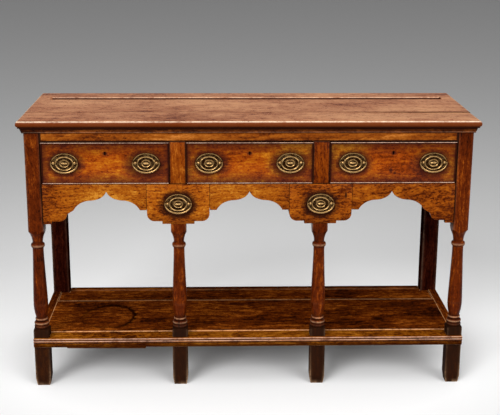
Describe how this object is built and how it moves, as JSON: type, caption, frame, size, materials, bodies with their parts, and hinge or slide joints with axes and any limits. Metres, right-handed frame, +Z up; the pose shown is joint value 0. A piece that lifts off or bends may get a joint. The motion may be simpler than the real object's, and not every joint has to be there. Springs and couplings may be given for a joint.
{
  "type": "welsh dresser base",
  "caption": "Low oak dresser with drawers over a shaped apron, small spice drawers in its piers, turned front legs, square rear posts and a pot board; brass bail handles.",
  "frame": {"origin": "middle of the footprint, on the floor", "axes": "+X to the right seen from the front, +Y from front to back, +Z up"},
  "size_m": [1.378, 0.503, 0.848],
  "materials": {
    "oak_top": "waxed, faded by light",
    "oak_front": "waxed, warm golden brown",
    "oak_frame": "waxed, dark brown",
    "oak_leg": "waxed, dark brown, worn feet",
    "oak_pot_board": "dark and worn",
    "oak_inside": "dry, unfinished",
    "brass": "pressed, with old dirt in the hollows",
    "iron": "dull"
  },
  "bodies": {
    "carcase": {"top_board_front": "oak_top", "top_board_back": "oak_top", "cornice_front": "oak_frame", "cornice_left": "oak_frame", "cornice_right": "oak_frame", "corner_leg_left": "oak_leg", "corner_leg_right": "oak_leg", "mid_leg_left": "oak_leg", "mid_leg_right": "oak_leg", "rear_post_left": "oak_leg", "rear_post_right": "oak_leg", "top_rail": "oak_frame", "muntin_left": "oak_frame", "muntin_right": "oak_frame", "drawer_rail": "oak_frame", "apron_left": "oak_front", "apron_centre": "oak_front", "apron_right": "oak_front", "end_panel_left": "oak_frame", "end_panel_right": "oak_frame", "back_panel": "oak_inside", "runner_left": "oak_inside", "runner_right": "oak_inside", "spice_housing_left": "oak_inside", "spice_housing_right": "oak_inside", "pot_rail_front": "oak_pot_board", "pot_rail_left": "oak_pot_board", "pot_rail_right": "oak_pot_board", "pot_rail_back": "oak_pot_board", "pot_board_main": "oak_pot_board", "pot_board_back": "oak_pot_board"},
    "drawer_left": {"drawer_left_front": "oak_front", "drawer_left_box": "oak_inside", "drawer_left_lock": "iron", "drawer_left_handle_left_plate": "brass", "drawer_left_handle_right_plate": "brass"},
    "drawer_centre": {"drawer_centre_front": "oak_front", "drawer_centre_box": "oak_inside", "drawer_centre_lock": "iron", "drawer_centre_handle_left_plate": "brass", "drawer_centre_handle_right_plate": "brass"},
    "drawer_right": {"drawer_right_front": "oak_front", "drawer_right_box": "oak_inside", "drawer_right_lock": "iron", "drawer_right_handle_left_plate": "brass", "drawer_right_handle_right_plate": "brass"},
    "spice_drawer_left": {"spice_drawer_left_front": "oak_front", "spice_drawer_left_box": "oak_inside", "spice_drawer_left_handle_plate": "brass"},
    "spice_drawer_right": {"spice_drawer_right_front": "oak_front", "spice_drawer_right_box": "oak_inside", "spice_drawer_right_handle_plate": "brass"},
    "drawer_left_handle_left_bail": {"drawer_left_handle_left_bail": "brass"},
    "drawer_left_handle_right_bail": {"drawer_left_handle_right_bail": "brass"},
    "drawer_centre_handle_left_bail": {"drawer_centre_handle_left_bail": "brass"},
    "drawer_centre_handle_right_bail": {"drawer_centre_handle_right_bail": "brass"},
    "drawer_right_handle_left_bail": {"drawer_right_handle_left_bail": "brass"},
    "drawer_right_handle_right_bail": {"drawer_right_handle_right_bail": "brass"},
    "spice_drawer_left_handle_bail": {"spice_drawer_left_handle_bail": "brass"},
    "spice_drawer_right_handle_bail": {"spice_drawer_right_handle_bail": "brass"}
  },
  "joints": [
    {"name": "drawer_left_slide", "type": "slide", "parent": "carcase", "child": "drawer_left", "axis": [0, -1, 0], "range_m": [0, 0.33]},
    {"name": "drawer_centre_slide", "type": "slide", "parent": "carcase", "child": "drawer_centre", "axis": [0, -1, 0], "range_m": [0, 0.33]},
    {"name": "drawer_right_slide", "type": "slide", "parent": "carcase", "child": "drawer_right", "axis": [0, -1, 0], "range_m": [0, 0.33]},
    {"name": "spice_drawer_left_slide", "type": "slide", "parent": "carcase", "child": "spice_drawer_left", "axis": [0, -1, 0], "range_m": [0, 0.25]},
    {"name": "spice_drawer_right_slide", "type": "slide", "parent": "carcase", "child": "spice_drawer_right", "axis": [0, -1, 0], "range_m": [0, 0.25]},
    {"name": "drawer_left_handle_left_swing", "type": "hinge", "parent": "drawer_left", "child": "drawer_left_handle_left_bail", "pos_m": [-0.5525, -0.2403, 0.721], "axis": [-1, 0, 0], "range_deg": [0, 170]},
    {"name": "drawer_left_handle_right_swing", "type": "hinge", "parent": "drawer_left", "child": "drawer_left_handle_right_bail", "pos_m": [-0.3095, -0.2403, 0.721], "axis": [-1, 0, 0], "range_deg": [0, 170]},
    {"name": "drawer_centre_handle_left_swing", "type": "hinge", "parent": "drawer_centre", "child": "drawer_centre_handle_left_bail", "pos_m": [-0.1215, -0.2403, 0.721], "axis": [-1, 0, 0], "range_deg": [0, 170]},
    {"name": "drawer_centre_handle_right_swing", "type": "hinge", "parent": "drawer_centre", "child": "drawer_centre_handle_right_bail", "pos_m": [0.1215, -0.2403, 0.721], "axis": [-1, 0, 0], "range_deg": [0, 170]},
    {"name": "drawer_right_handle_left_swing", "type": "hinge", "parent": "drawer_right", "child": "drawer_right_handle_left_bail", "pos_m": [0.3095, -0.2403, 0.721], "axis": [-1, 0, 0], "range_deg": [0, 170]},
    {"name": "drawer_right_handle_right_swing", "type": "hinge", "parent": "drawer_right", "child": "drawer_right_handle_right_bail", "pos_m": [0.5525, -0.2403, 0.721], "axis": [-1, 0, 0], "range_deg": [0, 170]},
    {"name": "spice_drawer_left_handle_swing", "type": "hinge", "parent": "spice_drawer_left", "child": "spice_drawer_left_handle_bail", "pos_m": [-0.2155, -0.2403, 0.59475], "axis": [-1, 0, 0], "range_deg": [0, 170]},
    {"name": "spice_drawer_right_handle_swing", "type": "hinge", "parent": "spice_drawer_right", "child": "spice_drawer_right_handle_bail", "pos_m": [0.2155, -0.2403, 0.59475], "axis": [-1, 0, 0], "range_deg": [0, 170]}
  ]
}
